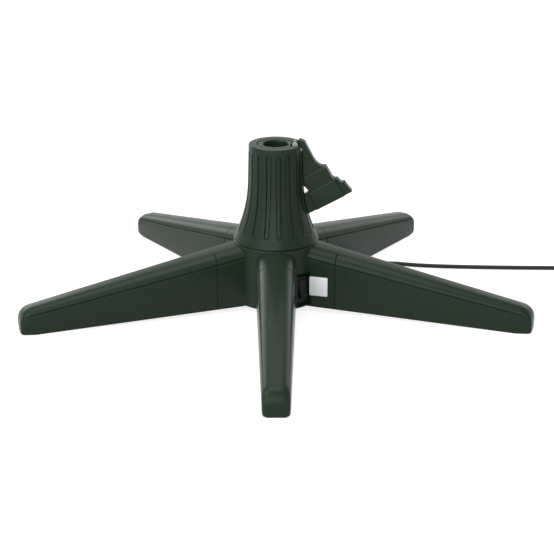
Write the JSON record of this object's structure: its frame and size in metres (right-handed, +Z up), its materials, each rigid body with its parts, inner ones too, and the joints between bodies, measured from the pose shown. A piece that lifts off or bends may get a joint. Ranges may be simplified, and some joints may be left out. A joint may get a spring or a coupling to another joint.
{
  "type": "rotating christmas tree stand",
  "caption": "Five-legged floor stand whose fluted column turns on a ball race, driven by a geared motor, with a pole socket, an outlet block on the rim and a mains cord.",
  "frame": {"origin": "on the floor, at the axis of the pole's bore", "axes": "+Z up along the pole's axis; -Y along the front leg; +X to the right as seen from the front"},
  "size_m": [0.8211, 0.6215, 0.2224],
  "materials": {
    "green_plastic": "dark green moulded plastic, satin gloss",
    "black_plastic": "near-black moulded plastic",
    "white_plastic": "natural moulded acetal",
    "grey_plastic": "light grey moulded plastic",
    "cord_plastic": "dark green soft vinyl",
    "steel": "zinc plated",
    "dark_steel": "dark plated steel",
    "brass": "pressed brass",
    "label": "plain white sticker"
  },
  "bodies": {
    "base": {"base_housing": "green_plastic", "base_cover": "green_plastic", "leg_front": "green_plastic", "leg_right": "green_plastic", "leg_back_right": "green_plastic", "leg_back_left": "green_plastic", "leg_left": "green_plastic", "leg_screws": "steel", "cover_screws": "steel", "lower_race": "steel", "motor_bracket": "steel", "bracket_screws": "steel", "gear_case": "dark_steel", "motor_can": "steel", "motor_screws": "steel", "brush_block": "black_plastic", "brushes": "black_plastic", "switch_body": "black_plastic", "blank_label": "label", "cord_gland": "cord_plastic", "cord_run": "cord_plastic", "cord_coil": "cord_plastic", "cord_tail": "cord_plastic", "plug_body": "cord_plastic", "plug_blades": "brass"},
    "bearing": {"bearing_balls": "steel", "ball_cage": "white_plastic"},
    "column": {"column_shell": "green_plastic", "pole_sleeve": "green_plastic", "shell_screws": "steel", "upper_race": "steel", "ring_gear": "white_plastic", "gear_screws": "steel", "slip_disc": "black_plastic", "slip_rings": "brass", "slip_disc_screw": "steel", "retaining_ring": "dark_steel", "lead_grommet": "grey_plastic"},
    "pinion": {"output_shaft": "steel", "drive_pinion": "white_plastic"},
    "rocker": {"switch_rocker": "black_plastic"},
    "outlets": {"tap_front": "green_plastic", "tap_back": "green_plastic", "tap_contacts": "brass", "tap_lead": "cord_plastic"}
  },
  "joints": [
    {"name": "column_spin", "type": "hinge", "parent": "base", "child": "column", "pos_m": [0, 0, 0.09], "axis": [0, 0, 1], "continuous": true},
    {"name": "cage_spin", "type": "hinge", "parent": "base", "child": "bearing", "pos_m": [0, 0, 0.086], "axis": [0, 0, 1], "continuous": true},
    {"name": "pinion_spin", "type": "hinge", "parent": "base", "child": "pinion", "pos_m": [0, 0.0264, 0.07], "axis": [0, 0, 1], "continuous": true},
    {"name": "switch_rock", "type": "hinge", "parent": "base", "child": "rocker", "pos_m": [0.03123, -0.03788, 0.032], "axis": [0.809, 0.5878, 0], "range_deg": [0, 18]},
    {"name": "outlet_swing", "type": "hinge", "parent": "column", "child": "outlets", "pos_m": [0.02506, -0.00263, 0.2154], "axis": [-0.1045, -0.9945, 0], "range_deg": [0, 100]}
  ],
  "couplings": [
    {"joint": "pinion_spin", "follows": "column_spin", "ratio": 3.75},
    {"joint": "cage_spin", "follows": "column_spin", "ratio": 0.5}
  ]
}
